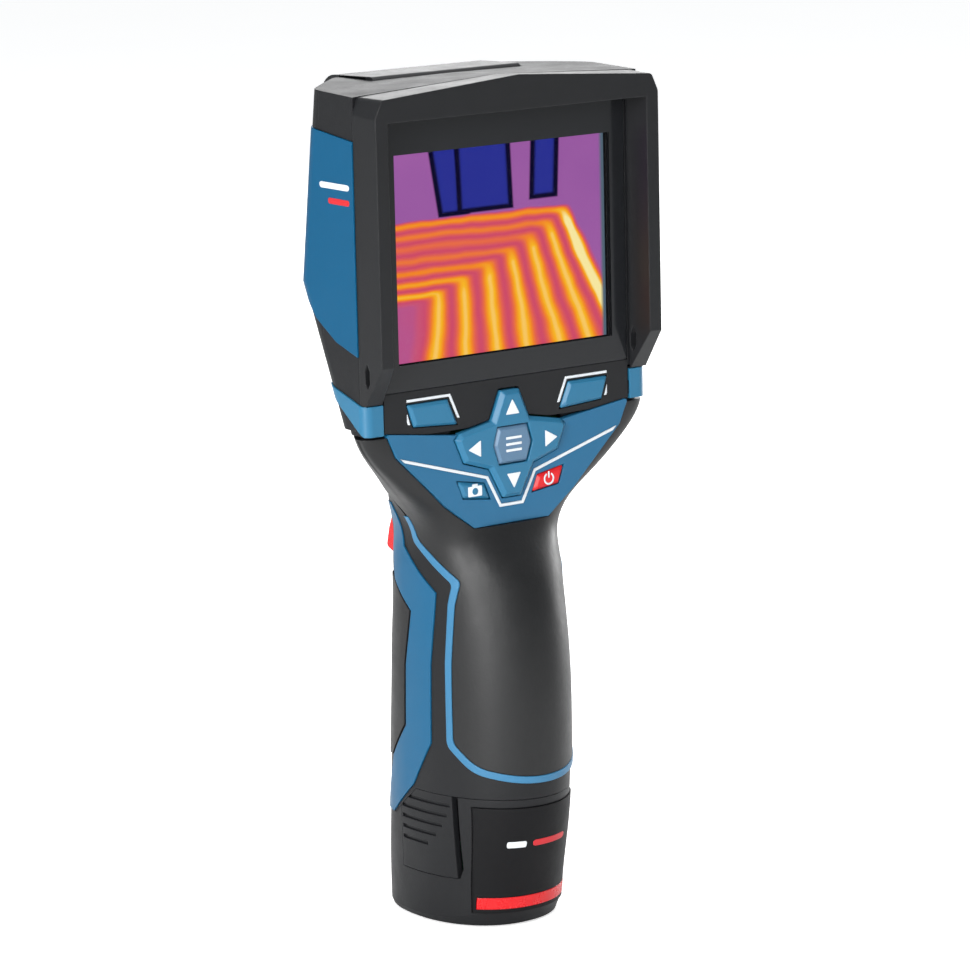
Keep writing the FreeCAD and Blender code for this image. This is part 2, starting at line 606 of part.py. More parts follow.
def board_screws():
    screws = []
    for x, z in board_posts():
        back = BOARD_Y + BOARD_THICK
        shank = rod(V(x, WALL_BACK_Y + 0.3, z), Y_AXIS, POST_SCREW_R, back - WALL_BACK_Y - 0.3)
        screws.append(shank.fuse(rod(V(x, back, z), Y_AXIS, *POST_HEAD)))
    return screws


# ---- electronics --------------------------------------------------------
def main_board():
    half, low, high = MAIN_BOARD
    board = box(-half, half, MAIN_BOARD_Y, MAIN_BOARD_Y + MAIN_BOARD_THICK, low, high)
    notches = [rod(V(x, MAIN_BOARD_Y, z), Y_AXIS, BOSS_R + 0.5, 2) for x, z, _ in screw_places()]
    return board.cut(notches)


def on_main_board(x0, x1, depth, z0, z1):
    top = MAIN_BOARD_Y + MAIN_BOARD_THICK
    return box(x0, x1, top, top + depth, z0, z1)


def coin_cell():
    return rod(V(25, MAIN_BOARD_Y + MAIN_BOARD_THICK, 166), Y_AXIS, 6.2, 2.1)


def usb_connector():
    shell = on_main_board(36, 44.3, 2.7, USB_Z - 3.8, USB_Z + 3.8)
    mouth = box(39, 46, MAIN_BOARD_Y + 2.1, MAIN_BOARD_Y + 3.8, USB_Z - 3.2, USB_Z + 3.2)
    return shell.cut(mouth)


def sensor_module():
    base = on_main_board(-11, 11, 8.5, LENS_Z - 11, LENS_Z + 11)
    return base.fuse(rod(V(0, 4, LENS_Z), Y_AXIS, 7.0, 3.0))


def camera_module():
    base = on_main_board(-6, 6, 20.0, CAMERA_Z - 6, CAMERA_Z + 6)
    return base.fuse(rod(V(0, 14, CAMERA_Z), Y_AXIS, 4.4, 10.0))


def shutter_motor():
    return rod(V(18, -1.0, LENS_Z - 13), Y_AXIS, 4.5, 8.3)


def shutter_blade():
    """Flag that swings in front of the sensor. At rest it hangs clear, to one side."""
    x, z = 18.0, LENS_Z - 13
    arm = math.hypot(x, LENS_Z - z)
    angle = math.atan2(LENS_Z - z, -x) - math.radians(55)
    tip = V(x + arm * math.cos(angle), 7.6, z + arm * math.sin(angle))
    disc = rod(tip, Y_AXIS, 7.5, 0.5)
    ahead = V(tip.x - x, 0, tip.z - z).normalize()
    across = V(-ahead.z, 0, ahead.x) * 2.0
    root = V(x, 7.6, z)
    bar = plate([root + across, root - across, tip - across, tip + across], V(0, 0.5, 0))
    return disc.fuse([bar, rod(root, Y_AXIS, 3.0, 0.5)])


# ---- lens side ----------------------------------------------------------
def lens_bezel():
    block = plate_y(LENS_BLOCK, 12, BLOCK_FRONT_Y, 5.0).cut(POCKET)
    return block.cut([rod(V(0, 0, LENS_Z), Y_AXIS, LENS_HOLE, 60),
                      rod(V(0, 0, CAMERA_Z), Y_AXIS, CAMERA_HOLE, 60)])


def lens_barrel():
    return tube(V(0, 9.0, LENS_Z), Y_AXIS, LENS_HOLE - GAP, 10.2, 20.0)


def lens_ring():
    ring = tube(V(0, 29.0, LENS_Z), Y_AXIS, LENS_HOLE - GAP, 9.4, 2.0)
    return ring.makeChamfer(0.6, [e for e in ring.Edges if abs(e.BoundBox.YMin - 31.0) < 0.01])


def ir_lens():
    ball = Part.makeSphere(22.0, V(0, 29.6 - 22.0, LENS_Z))
    return rod(V(0, 26.0, LENS_Z), Y_AXIS, 10.1, 3.0).common(ball)


def camera_window():
    return rod(V(0, 29.6, CAMERA_Z), Y_AXIS, CAMERA_HOLE - GAP, 1.2)


def protective_cap():
    """Flap over the lens and the camera window, hinged on the roof."""
    y, z = CAP_HINGE
    roof_z = z + CAP_BARREL
    floor_z, inner_y = CAP_LOW_Z + CAP_WALL, CAP_OUT_Y - CAP_WALL
    outside = [(y, roof_z), (CAP_OUT_Y, roof_z - 0.8), (CAP_OUT_Y, CAP_LOW_Z), (y, CAP_LOW_Z)]
    inside = [(y - 9, roof_z - CAP_WALL), (inner_y, roof_z - CAP_WALL - 0.8), (inner_y, floor_z),
              (y - 9, floor_z)]
    tray = plate_x(outside, -CAP_HALF, CAP_HALF, [0, 7.0, 5.0, 0])
    hollow = plate_x(inside, -CAP_HALF + CAP_WALL, CAP_HALF - CAP_WALL, [0, 5.2, 3.2, 0])
    barrel = rod(V(-CAP_HALF, y, z), X_AXIS, CAP_BARREL, 2 * CAP_HALF)
    swept = box(-30, 30, y - 10, y + 14.0, 100, z - 1.2)
    tray = tray.cut([hollow, outer_form(0.4), swept])
    return tray.fuse(barrel).cut(rod(V(-CAP_HALF - 1, y, z), X_AXIS, PIN_BORE_R, 2 * CAP_HALF + 2))


def cap_hinge_pin():
    y, z = CAP_HINGE
    return rod(V(-PIN_HALF, y, z), X_AXIS, PIN_R, 2 * PIN_HALF)


def usb_cover():
    return inlay(plate_x(grown(USB_DOOR, -RUN), 30, 60))


def side_panel(side):
    panel = inlay(side_panel_region())
    if side < 0:
        return panel
    return mirrored(panel).cut(plate_x(USB_DOOR, 30, 60))


# ---- trigger ------------------------------------------------------------
def trigger():
    body = plate_x(TRIGGER, -TRIGGER_HALF, TRIGGER_HALF, [1.0, 2.0, 3.0, 1.2, 2.0, 1.0, 1.0, 1.0])
    y, z = TRIGGER_PIVOT
    return body.cut(rod(V(-10, y, z), X_AXIS, PIN_BORE_R, 20))


def trigger_pin():
    y, z = TRIGGER_PIVOT
    return rod(V(-TRIGGER_PIN_HALF, y, z), X_AXIS, PIN_R, 2 * TRIGGER_PIN_HALF)


def trigger_switch():
    return box(-3.2, 3.2, 8.5, 14.6, 96.5, 103.5)


def terminal_block():
    return box(-9, 9, -7, 6, 79.0, 85.0)


# ---- battery ------------------------------------------------------------
def stalk(grow=0.0):
    """Rounded triangle round the three cells."""
    radius = CELL_R + STALK_WALL + grow
    right, left, front = (V(x, y, SEAM_BACK_Z - 2) for x, y in CELLS)
    height = V(0, 0, STALK_TOP - SEAM_BACK_Z + 2)
    parts = [rod(p, Z_AXIS, radius, height.z) for p in (right, left, front)]
    for a, b in ((right, left), (left, front), (front, right)):
        out = (b - a).cross(Z_AXIS).normalize() * radius
        parts.append(plate([a + out, b + out, b - out * 0.5, a - out * 0.5], height))
    return fuse(parts)


def base_form(offset=0.0):
    form = grip_form(offset).common(box(-FAR, FAR, -FAR, FAR, max(0.0, -offset), 60))
    return form.common(seam_block(GAP - min(offset, 0.0)))


def battery_case():
    bores = [rod(V(x, y, CELL_LOW), Z_AXIS, CELL_R + 0.05, CELL_HIGH - CELL_LOW + 0.3) for x, y in CELLS]
    hollow = base_form(-WALL).common(box(-FAR, FAR, -FAR, FAR, 2.4, 24.0))
    cuts = bores + [hollow]
    cuts += both_sides(plate_x(grown(LATCH, GAP), -FAR, -15).cut(grip_form(-LATCH_THICK - 1.2)))
    cuts += both_sides(plate_x(LATCH_SLOT, -FAR, -15).cut(grip_form(-WALL + 0.4)))
    cuts.append(front_panel_region(GAP).cut(grip_form(-1.0 - GAP)))
    low = STALK_TOP - 2.0
    cuts += [box(x - 0.5, x + 0.5, -4.6, 3.6, low, STALK_TOP + 2) for x in CONTACTS]
    return bevelled_base().fuse(stalk()).cut(cuts)


def bevelled_base():
    """Base block with its bottom edge taken off by two cones."""
    block = base_form()
    for start, low, spread in BASE_BEVELS:
        rows = [(low, start), (low + 20.0, start + 20.0 * spread)]
        wires = [grip_section((z,) + BASE_STATION, offset) for z, offset in rows]
        upper = Part.makeLoft(wires, True, True)
        block = block.common(upper.fuse(box(-FAR, FAR, -FAR, FAR, low + 20.0, 70)))
    return block


def front_panel_region(grow=0.0):
    return plate_y(grown(PANEL, grow), -FAR, 0)


def battery_panel():
    panel = grip_form(0.4).common(front_panel_region()).cut(grip_form(-1.0))
    band = box(-14.7, 14.7, -FAR, 0, STRIPE_LOW - 0.05, STRIPE_HIGH + 0.05)
    return panel.cut(band.cut(grip_form(-0.4)))


def battery_stripe():
    band = box(-14.6, 14.6, -FAR, 0, STRIPE_LOW, STRIPE_HIGH)
    return grip_form(0.5).common(band).cut(grip_form(-0.35))


def battery_latch():
    """Press tab on one side of the battery, with grip ribs that shorten downwards."""
    tab = grip_form().common(plate_x(LATCH, -FAR, -15)).cut(grip_form(-LATCH_THICK))
    grooves = []
    for i in range(RIB_COUNT):
        z = RIB_TOP - i * RIB_STEP
        front = -10.6 + 0.9 * i + 0.3 * i * i
        grooves.append(box(-FAR, -15, front, 9.0, z - RIB_HEIGHT, z).cut(grip_form(-0.6)))
    return tab.cut(grooves)


def battery_cells():
    return [rod(V(x, y, CELL_LOW), Z_AXIS, CELL_R, CELL_HIGH - CELL_LOW) for x, y in CELLS]


def battery_contacts():
    low, high = STALK_TOP - 2.0, STALK_TOP + 0.8
    return [box(x - 0.4, x + 0.4, -4.5, 3.5, low, high) for x in CONTACTS]


# ---- build --------------------------------------------------------------
HOUSING = housing()


def grip_piping():
    """Bead round the palm grip."""
    ring = palm_region(BEAD).cut(palm_region(GAP / 2))
    low = ring.common(box(-FAR, FAR, -FAR, FAR, 0, BEAD_TOP))
    return outer_form(0.7).common(low).cut(POCKET)


def palm_grip():
    """Rubber wrap of the grip, hollowed a little more where the neck turns sharply."""
    front, back, low = PALM_RELIEF
    relief = grip_form(-SKIN + 0.3).common(box(-FAR, FAR, front, back, low, SKY))
    grip = outer_form(0.5).common(palm_region()).cut([POCKET, relief])
    return grip.cut([plate_y(plate_outline(GAP), -FAR, 0), box(-36, 36, -40, 0, 134.0, 150)])


def everything():
    left = {
        "side_stripe": inlay(stripe_region()).cut(trigger_slot()),
        "keypad_band": inlay(band_region()),
        "battery_latch": battery_latch(),
    }
    nodes = {
        "display_side_shell": display_side_shell(), "lens_side_shell": lens_side_shell(),
        "display_hood": display_hood(), "display_bezel": display_bezel(),
        "display_window": display_window(), "window_gasket": window_gasket(),
        "display_panel": display_panel(), "keypad_plate": keypad_plate(),
        "keypad_trim": keypad_trim(), "soft_key_lines": accent_lines(0.0, FACE_Y + LINE_DEPTH),
        "nav_pad": nav_pad(), "nav_membrane": nav_membrane(), "func_key": func_key(),
        "right_soft_key": flanged_key(SOFT_KEY),
        "left_soft_key": mirrored(flanged_key(SOFT_KEY)),
        "power_key": flanged_key(CORNER_KEY),
        "save_key": mirrored(flanged_key(CORNER_KEY)),
        "key_board": key_board(), "key_switches": key_switches(), "board_screws": board_screws(),
        "side_panel_left": side_panel(-1), "side_panel_right": side_panel(1),
        "palm_grip": palm_grip(), "grip_piping": grip_piping(),
        "finger_grip": inlay(finger_region()).cut(trigger_slot()),
        "main_board": main_board(), "processor_shield": on_main_board(-32, -14, 2.5, 188, 214),
        "wireless_module": on_main_board(14, 32, 2.2, 206, 218), "coin_cell": coin_cell(),
        "usb_connector": usb_connector(), "usb_cover": usb_cover(),
        "sensor_module": sensor_module(), "camera_module": camera_module(),
        "shutter_motor": shutter_motor(), "shutter_blade": shutter_blade(),
        "lens_bezel": lens_bezel(), "lens_barrel": lens_barrel(), "lens_ring": lens_ring(),
        "ir_lens": ir_lens(), "camera_window": camera_window(),
        "protective_cap": protective_cap(), "cap_hinge_pin": cap_hinge_pin(),
        "trigger": trigger(), "trigger_pin": trigger_pin(), "trigger_switch": trigger_switch(),
        "terminal_block": terminal_block(), "housing_screws": housing_screws(),
        "battery_case": battery_case(), "battery_panel": battery_panel(),
        "battery_stripe": battery_stripe(), "battery_cells": battery_cells(),
        "battery_contacts": battery_contacts(),
    }
    for name, shape in left.items():
        nodes[name + "_left"] = shape
        nodes[name + "_right"] = mirrored(shape)
    return nodes


def write(nodes):
    os.makedirs("parts", exist_ok=True)
    for name, shape in nodes.items():
        solids = shape if isinstance(shape, list) else shape.Solids
        result = solids[0] if len(solids) == 1 else Part.makeCompound(solids)
        result.exportStep("parts/" + name + ".step")


write(everything())
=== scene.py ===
import json
import math

import bmesh
import bpy
from mathutils import Matrix, Vector
from mathutils.bvhtree import BVHTree


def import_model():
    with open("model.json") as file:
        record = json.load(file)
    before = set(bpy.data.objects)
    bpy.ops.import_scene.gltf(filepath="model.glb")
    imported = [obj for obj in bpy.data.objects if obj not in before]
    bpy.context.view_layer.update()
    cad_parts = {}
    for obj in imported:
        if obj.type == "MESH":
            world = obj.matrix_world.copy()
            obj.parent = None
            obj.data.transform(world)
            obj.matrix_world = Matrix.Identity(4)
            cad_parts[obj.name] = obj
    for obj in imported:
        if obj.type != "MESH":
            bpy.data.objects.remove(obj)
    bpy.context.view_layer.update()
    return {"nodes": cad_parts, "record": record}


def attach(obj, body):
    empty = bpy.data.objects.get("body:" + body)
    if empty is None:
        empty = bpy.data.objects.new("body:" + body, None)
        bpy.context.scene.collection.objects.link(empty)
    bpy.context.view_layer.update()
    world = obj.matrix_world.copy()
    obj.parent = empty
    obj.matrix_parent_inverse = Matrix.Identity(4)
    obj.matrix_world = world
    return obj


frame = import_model()
NODES = frame["nodes"]
MM = 0.001


# ---- node graphs --------------------------------------------------------
class Graph:
    """A material's node tree, with short calls for the nodes used here."""

    def __init__(self, name):
        self.material = bpy.data.materials.new(name)
        self.material.use_nodes = True
        self.tree = self.material.node_tree
        self.tree.nodes.clear()
        self.output = self.tree.nodes.new("ShaderNodeOutputMaterial")
        self.coordinates = self.tree.nodes.new("ShaderNodeTexCoord").outputs["Object"]

    def node(self, kind, settings=None, **inputs):
        made = self.tree.nodes.new(kind)
        for key, value in (settings or {}).items():
            setattr(made, key, value)
        for key, value in inputs.items():
            socket = made.inputs[int(key[1:])] if key[0] == "_" else made.inputs[key.replace("_", " ")]
            self.put(socket, value)
        return made

    def put(self, socket, value):
        if isinstance(value, bpy.types.NodeSocket):
            self.tree.links.new(value, socket)
        else:
            socket.default_value = value

    def math(self, operation, a, b=0.0, c=0.0):
        made = self.node("ShaderNodeMath", {"operation": operation}, _0=a, _1=b, _2=c)
        return made.outputs[0]

    def mix(self, factor, a, b):
        made = self.node("ShaderNodeMix", {"data_type": "RGBA"})
        for index, value in ((0, factor), (6, a), (7, b)):
            self.put(made.inputs[index], value)
        return made.outputs[2]

    def noise(self, scale, detail=2.0, roughness=0.5, vector=None):
        made = self.node("ShaderNodeTexNoise", None, Scale=scale, Detail=detail, Roughness=roughness)
        self.put(made.inputs["Vector"], vector or self.coordinates)
        return made.outputs[0]

    def remap(self, value, low, high, to_low, to_high):
        made = self.node("ShaderNodeMapRange", None, _0=value, _1=low, _2=high, _3=to_low, _4=to_high)
        return made.outputs[0]

    def axes(self):
        made = self.node("ShaderNodeSeparateXYZ", None, _0=self.coordinates)
        return made.outputs[0], made.outputs[1], made.outputs[2]

    def edge_wear(self, radius):
        """0 on flat faces, rising to 1 on sharp outer and inner edges."""
        rounded = self.node("ShaderNodeBevel", {"samples": 4}, Radius=radius)
        flat = self.node("ShaderNodeNewGeometry").outputs["Normal"]
        made = self.node("ShaderNodeVectorMath", {"operation": "DOT_PRODUCT"}, _0=rounded.outputs[0], _1=flat)
        return rounded.outputs[0], self.remap(made.outputs["Value"], 0.995, 0.75, 0.0, 1.0)


def shade(colour, factor):
    return tuple(min(1.0, c * factor) for c in colour[:3]) + (1.0,)


def surface(name, colour, rough, grain=0.0, grain_scale=1400.0, metal=0.0, wear=0.35, edge=0.35,
            specular=0.5, coat=0.0, mottle=0.12, brushed=None):
    """Moulded or machined finish: fine grain, slight unevenness, softened and lighter edges."""
    g = Graph(name)
    rounded, edges = g.edge_wear(edge * MM)
    broad = g.noise(38.0, 3.0)
    fine_vector = g.coordinates
    if brushed:
        fine_vector = g.node("ShaderNodeMapping", None, Vector=g.coordinates, Scale=brushed).outputs[0]
    fine = g.noise(grain_scale, 2.0, 0.6, fine_vector)
    body = g.mix(broad, shade(colour, 1 - mottle), shade(colour, 1 + mottle))
    body = g.mix(g.math("MULTIPLY", fine, 0.25), body, shade(colour, 1.35))
    body = g.mix(g.math("MULTIPLY", edges, wear), body, shade(colour, 2.2))
    smears = g.noise(120.0, 4.0, 0.7)
    roughness = g.math("ADD", g.remap(smears, 0.3, 0.7, rough - 0.05, rough + 0.05),
                       g.math("MULTIPLY", fine, 0.08))
    bump = g.node("ShaderNodeBump", None, Strength=min(1.0, grain), Distance=0.05 * MM)
    g.put(bump.inputs["Height"], fine)
    g.put(bump.inputs["Normal"], rounded)
    shader = g.node("ShaderNodeBsdfPrincipled", None, Base_Color=body, Roughness=roughness,
                    Metallic=metal, Normal=bump.outputs[0], Coat_Weight=coat, Coat_Roughness=0.15,
                    Specular_IOR_Level=specular)
    g.put(g.output.inputs[0], shader.outputs[0])
    return g.material


def clear(name, tint, rough, see_through, mask=None):
    """Clear or half-clear pane with faint smears, mixed by how much shows through."""
    g = Graph(name)
    smears = g.noise(60.0, 5.0, 0.7)
    rounded, _ = g.edge_wear(0.4 * MM)
    glossy = g.node("ShaderNodeBsdfPrincipled", None, Base_Color=tint + (1.0,),
                    Roughness=g.remap(smears, 0.3, 0.8, rough, rough + 0.06), Normal=rounded)
    gap = g.node("ShaderNodeBsdfTransparent")
    share = see_through
    if mask:
        share = g.math("MULTIPLY", rectangle_mask(g, *mask), see_through)
    both = g.node("ShaderNodeMixShader", None, _0=share, _1=glossy.outputs[0], _2=gap.outputs[0])
    g.put(g.output.inputs[0], both.outputs[0])
    return g.material


def rectangle_mask(g, half, low, high):
    """1 inside a rectangle of the X-Z plane, in metres."""
    x, _, z = g.axes()
    inside_x = g.math("LESS_THAN", g.math("ABSOLUTE", x), half)
    inside_z = g.math("MULTIPLY", g.math("GREATER_THAN", z, low), g.math("LESS_THAN", z, high))
    return g.math("MULTIPLY", inside_x, inside_z)


# ---- the thermal picture ------------------------------------------------
PICTURE_HALF, PICTURE_LOW, PICTURE_HIGH = 35.55 * MM, 158.6 * MM, 214.4 * MM
WALL = (0.30, 0.095, 0.36, 1)
WALL_LIGHT = (0.40, 0.13, 0.42, 1)
NAVY = (0.022, 0.030, 0.30, 1)
OUTLINE = (0.002, 0.001, 0.022, 1)
PALE = (0.09, 0.14, 0.19, 1)
FLOOR = (0.62, 0.085, 0.19, 1)
FLOOR_COOL = (0.40, 0.11, 0.36, 1)
HEAT_RAMP = ((0.0, (0.66, 0.075, 0.15, 1)), (0.30, (0.82, 0.13, 0.08, 1)), (0.55, (0.95, 0.25, 0.02, 1)),
             (0.80, (1.0, 0.50, 0.02, 1)), (1.0, (1.0, 0.86, 0.38, 1)))
# Dark windows: left and right edge, bottom edge, lean.
WINDOWS = ((0.180, 0.325, 0.325, 0.13), (0.300, 0.560, 0.320, 0.03), (0.655, 0.790, 0.290, -0.04))


def picture_material():
    """Heat picture of a room: a cool wall with two dark windows over a floor heated by nested pipes."""
    g = Graph("lcd")
    x, _, z = g.axes()
    u = g.remap(x, -PICTURE_HALF, PICTURE_HALF, 0.0, 1.0)
    v = g.remap(z, PICTURE_HIGH, PICTURE_LOW, 0.0, 1.0)
    wobble = g.remap(g.noise(70.0, 2.0), 0.3, 0.7, -0.007, 0.007)
    v_w, u_w = g.math("ADD", v, wobble), g.math("SUBTRACT", u, wobble)

    # Pipe number, counted inwards: s_h on the runs along the wall, s_v on the runs towards the viewer.
    s_h = g.math("DIVIDE", g.math("SUBTRACT", v_w, 0.352), 0.055)
    t = g.math("DIVIDE", g.math("SUBTRACT", v_w, 0.35), 0.65)
    lead = g.math("ADD", 0.80, g.math("MULTIPLY", t, 0.26))
    pitch = g.math("ADD", 0.093, g.math("MULTIPLY", t, 0.052))
    s_v = g.math("DIVIDE", g.math("SUBTRACT", lead, u_w), pitch)
    s = g.math("SMOOTH_MIN", s_h, s_v, 0.55)
    phase = g.math("MULTIPLY", s, 2 * math.pi)
    wave = g.math("ADD", g.math("MULTIPLY", g.math("COSINE", phase), 0.5), 0.5)
    inside = g.math("MULTIPLY", g.remap(s, -0.42, -0.25, 0.0, 1.0), g.remap(s, 6.9, 6.3, 0.0, 1.0))
    right = g.remap(g.math("SUBTRACT", s_h, s_v), -0.6, 1.2, 0.0, 1.0)
    fade = g.math("ABSOLUTE", g.math("SUBTRACT", s, 2.2))
    along_wall = g.math("ADD", 0.34, g.math("MULTIPLY", fade, 0.125))
    to_viewer = g.remap(s, 0.2, 1.0, 1.15, 0.86)
    warmth = g.math("ADD", g.math("MULTIPLY", to_viewer, right),
                    g.math("MULTIPLY", along_wall, g.math("SUBTRACT", 1.0, right)))
    heat = g.math("MULTIPLY", g.math("POWER", wave, 0.85), g.math("MULTIPLY", warmth, inside))
    ramp = g.node("ShaderNodeValToRGB", None, _0=heat)
    stops = ramp.color_ramp.elements
    for index, (position, colour) in enumerate(HEAT_RAMP):
        stop = stops[index] if index < 2 else stops.new(position)
        stop.position, stop.color = position, colour

    cool = g.mix(g.noise(45.0, 2.0), FLOOR_COOL, FLOOR)
    floor = g.mix(g.remap(s, 6.9, 6.4, 0.0, 1.0), cool, ramp.outputs[0])
    wall = g.mix(g.noise(35.0, 3.0), WALL, WALL_LIGHT)
    for left, right_edge, bottom, lean in WINDOWS:
        u_l = g.math("ADD", u, g.math("MULTIPLY", v, -lean))
        across = g.math("MINIMUM", g.math("SUBTRACT", u_l, left), g.math("SUBTRACT", right_edge, u_l))
        depth = g.math("MINIMUM", across, g.math("SUBTRACT", bottom, v))
        wall = g.mix(g.remap(depth, -0.004, 0.004, 0.0, 1.0), wall, OUTLINE)
        wall = g.mix(g.remap(depth, 0.018, 0.030, 0.0, 1.0), wall, NAVY)
    on_floor = g.remap(s, -0.48, -0.32, 0.0, 1.0)
    shown = g.mix(on_floor, wall, floor)
    shown = g.mix(g.remap(u, 0.976, 0.990, 0.0, 1.0), shown, PALE)

    inside_picture = rectangle_mask(g, PICTURE_HALF, PICTURE_LOW, PICTURE_HIGH)
    shown = g.mix(inside_picture, (0.004, 0.004, 0.005, 1), shown)
    pixels = g.noise(2600.0, 0.0)
    shown = g.mix(g.math("MULTIPLY", pixels, 0.06), shown, (0, 0, 0, 1))
    shader = g.node("ShaderNodeBsdfPrincipled", None, Base_Color=(0.002, 0.002, 0.002, 1), Roughness=0.5,
                    Specular_IOR_Level=0.0, Emission_Color=shown, Emission_Strength=1.0)
    g.put(g.output.inputs[0], shader.outputs[0])
    return g.material


# ---- finishes -----------------------------------------------------------
CHARCOAL = (0.009, 0.0095, 0.011)
HOOD = (0.012, 0.0125, 0.014)
BLUE = (0.012, 0.125, 0.255)
# Darker copy of the blue for the side panels: painted shade on sides turned away from the light
BLUE_PAINTED_SHADE = (0.004, 0.085, 0.185)
BLUE_KEY = (0.020, 0.155, 0.285)
STEEL = (0.42, 0.42, 0.44)
FINISHES = {
    "shell_black": surface("shell_black", CHARCOAL, 0.42, 0.5, 1500.0, wear=0.3, specular=0.32),
    "hood_black": surface("hood_black", HOOD, 0.34, 0.25, 1700.0, wear=0.3, edge=0.5, specular=0.35),
    "bezel_black": surface("bezel_black", CHARCOAL, 0.30, 0.15, 1700.0, wear=0.25, specular=0.35),
    "grip_rubber": surface("grip_rubber", (0.007, 0.0073, 0.008), 0.38, 0.6, 900.0, wear=0.2, edge=0.5),
    "gasket_rubber": surface("gasket_rubber", (0.01, 0.01, 0.01), 0.6, 0.4),
    "cover_rubber": surface("cover_rubber", BLUE, 0.5, 0.4, 1200.0),
    "blue": surface("blue", BLUE, 0.30, 0.12, 1900.0, wear=0.25, edge=0.3, mottle=0.05),
    # side stripes: the blue a little darkened as painted shade
    "blue_stripe_painted_shade": surface("blue_stripe_painted_shade", (0.008, 0.105, 0.220), 0.32, 0.12, 1900.0, wear=0.3, edge=0.3,
                           specular=0.3, mottle=0.05),
    "panel_black": surface("panel_black", (0.005, 0.005, 0.006), 0.5, 0.3, 1500.0, wear=0.3, specular=0.2),
    # side panels: the blue darkened as painted shade
    "blue_painted_shade": surface("blue_painted_shade", BLUE_PAINTED_SHADE, 0.34, 0.12, 1900.0, wear=0.4, edge=0.3, specular=0.15,
                         mottle=0.05),
    "blue_band": surface("blue_band", BLUE_KEY, 0.32, 0.2, 1700.0, wear=0.25, mottle=0.05),
    "key_blue": surface("key_blue", BLUE_KEY, 0.30, 0.2, 1700.0, wear=0.4, edge=0.5, mottle=0.05),
    "key_grey": surface("key_grey", (0.10, 0.19, 0.30), 0.30, 0.2, 1700.0, wear=0.4, edge=0.4, mottle=0.05),
    "key_red": surface("key_red", (0.68, 0.008, 0.012), 0.32, 0.2, 1700.0, wear=0.3, mottle=0.05),
    "red": surface("red", (0.70, 0.006, 0.010), 0.22, 0.1, 1900.0, wear=0.2, mottle=0.04),
    # bead: the blue lightened to stand in for its highlight, a painted highlight
    "bead": surface("bead", (0.035, 0.18, 0.34), 0.34, 0.2, 1600.0, wear=0.3, mottle=0.05),
    "white_line": surface("white_line", (0.72, 0.76, 0.80), 0.35, 0.2, 1700.0, wear=0.1, mottle=0.03),
    "print_white": surface("print_white", (0.80, 0.84, 0.88), 0.40, 0.2, 1500.0, wear=0.0, mottle=0.04),
    "print_red": surface("print_red", (0.60, 0.012, 0.02), 0.40, 0.2, 1500.0, wear=0.0, mottle=0.05),
    "silicone": surface("silicone", (0.12, 0.12, 0.12), 0.5, 0.3),
    "pcb": surface("pcb", (0.01, 0.09, 0.035), 0.3, 0.3, 700.0, coat=0.3),
    "metal": surface("metal", STEEL, 0.32, 0.2, 900.0, metal=1.0, brushed=(1, 1, 12)),
    "switch": surface("switch", (0.5, 0.5, 0.5), 0.3, 0.2, 900.0, metal=1.0),
    "gold": surface("gold", (0.7, 0.45, 0.15), 0.25, 0.2, 900.0, metal=1.0),
    "cell": surface("cell", (0.03, 0.16, 0.09), 0.28, 0.1, 900.0, coat=0.3),
    "lens_black": surface("lens_black", (0.012, 0.012, 0.013), 0.30, 0.3, 1500.0, wear=0.35),
    "germanium": surface("germanium", (0.10, 0.075, 0.06), 0.08, 0.05, 900.0, metal=1.0, wear=0.1,
                         coat=1.0),
    "window_glass": clear("window_glass", (0.012, 0.013, 0.015), 0.10, 0.97,
                          (PICTURE_HALF, PICTURE_LOW, PICTURE_HIGH)),
    "clear_glass": clear("clear_glass", (0.10, 0.13, 0.13), 0.05, 0.6),
    "lcd": picture_material(),
}
NODE_FINISH = {
    "nav_pad": "key_blue", "left_soft_key": "key_blue", "right_soft_key": "key_blue",
    "save_key": "key_blue", "func_key": "key_grey", "trigger": "red", "battery_panel": "panel_black",
    "side_stripe_left": "blue_stripe_painted_shade", "side_stripe_right": "blue_stripe_painted_shade",
    "side_panel_left": "blue_painted_shade", "side_panel_right": "blue_painted_shade",
}


def dress(thing, finish):
    thing.data.materials.clear()
    thing.data.materials.append(FINISHES[finish])


SLOTS = {row["node"]: row["material_slot"] for row in frame["record"]["subparts"]}
for node_name, node in NODES.items():
    dress(node, NODE_FINISH.get(node_name, SLOTS[node_name]))


# ---- printed marks ------------------------------------------------------
def piece(name, mesh, body, finish):
    made = bpy.data.objects.new(name, mesh)
    bpy.context.scene.collection.objects.link(made)
    dress(made, finish)
    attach(made, body)
    return made


def prism_mesh(name, outlines, front, back):
    """Closed prisms from outlines in X and Z, in millimetres, between two Y planes."""
    mesh = bpy.data.meshes.new(name)
    built = bmesh.new()
    for outline in outlines:
        rings = [[built.verts.new((x * MM, y * MM, z * MM)) for x, z in outline] for y in (front, back)]
        count = len(outline)
        built.faces.new(rings[0])
        built.faces.new(rings[1][::-1])
        for i in range(count):
            j = (i + 1) % count
            built.faces.new((rings[0][j], rings[0][i], rings[1][i], rings[1][j]))
    bmesh.ops.recalc_face_normals(built, faces=built.faces[:])
    built.to_mesh(mesh)
    built.free()
    return mesh


def arc(x, z, radius, start=0.0, stop=360.0, steps=24):
    angles = [math.radians(start + (stop - start) * i / steps) for i in range(steps + 1)]
    return [(x + radius * math.cos(a), z + radius * math.sin(a)) for a in angles]


